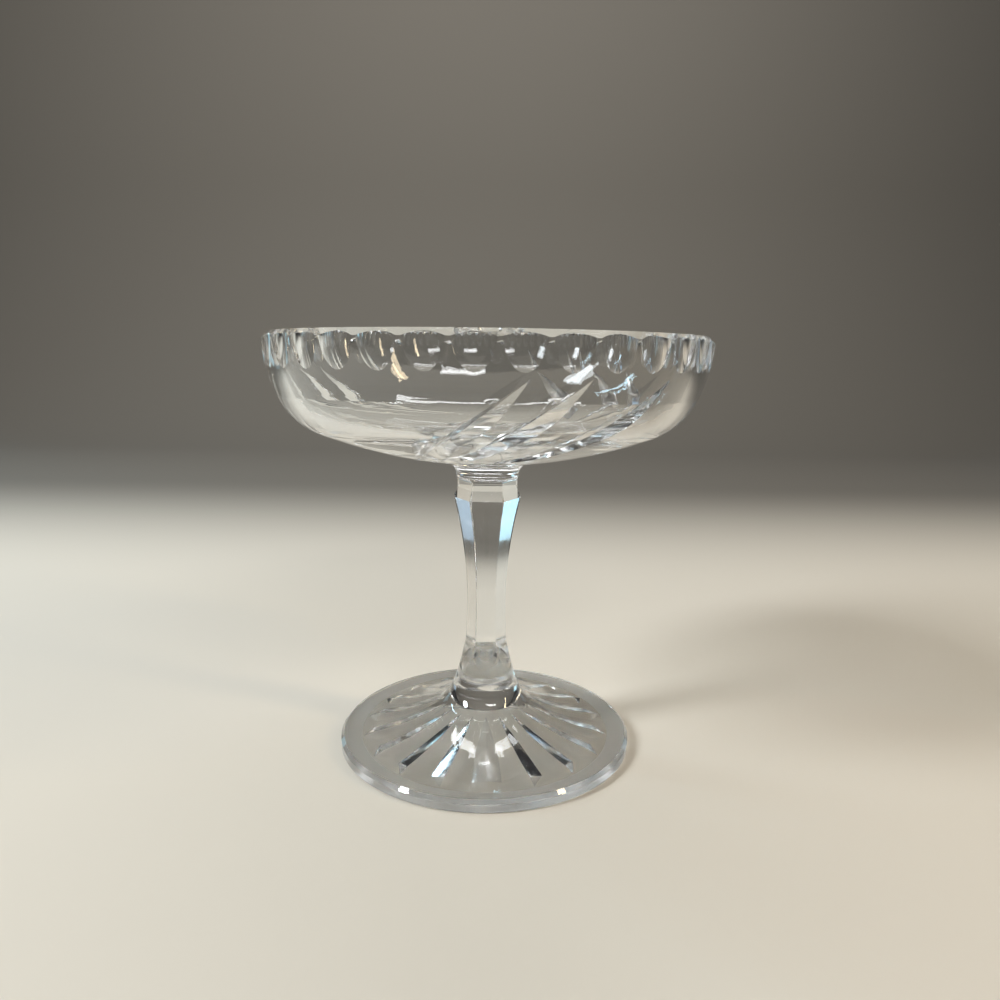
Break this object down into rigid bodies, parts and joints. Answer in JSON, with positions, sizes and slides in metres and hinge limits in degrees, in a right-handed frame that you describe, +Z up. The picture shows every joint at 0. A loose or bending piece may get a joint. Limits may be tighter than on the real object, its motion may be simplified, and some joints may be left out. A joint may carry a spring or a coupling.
{
  "type": "footed compote",
  "caption": "Footed compote in clear cut crystal: shallow bowl with rim flutes and pinwheel mitre cuts, on a panelled stem and a bell foot with a star cut below.",
  "frame": {"origin": "centre of the foot, on the surface that it rests on", "axes": "+Z up along the axis of bowl, stem and foot; the picture's front is -Y, with one panel of the stem facing it"},
  "size_m": [0.1518, 0.1518, 0.148],
  "materials": {
    "bowl": "polished clear lead crystal",
    "collar": "polished clear lead crystal",
    "stem": "polished clear lead crystal",
    "foot": "polished clear lead crystal"
  },
  "bodies": {
    "root": {"bowl": "bowl", "collar": "collar", "stem": "stem", "foot": "foot"}
  },
  "joints": []
}
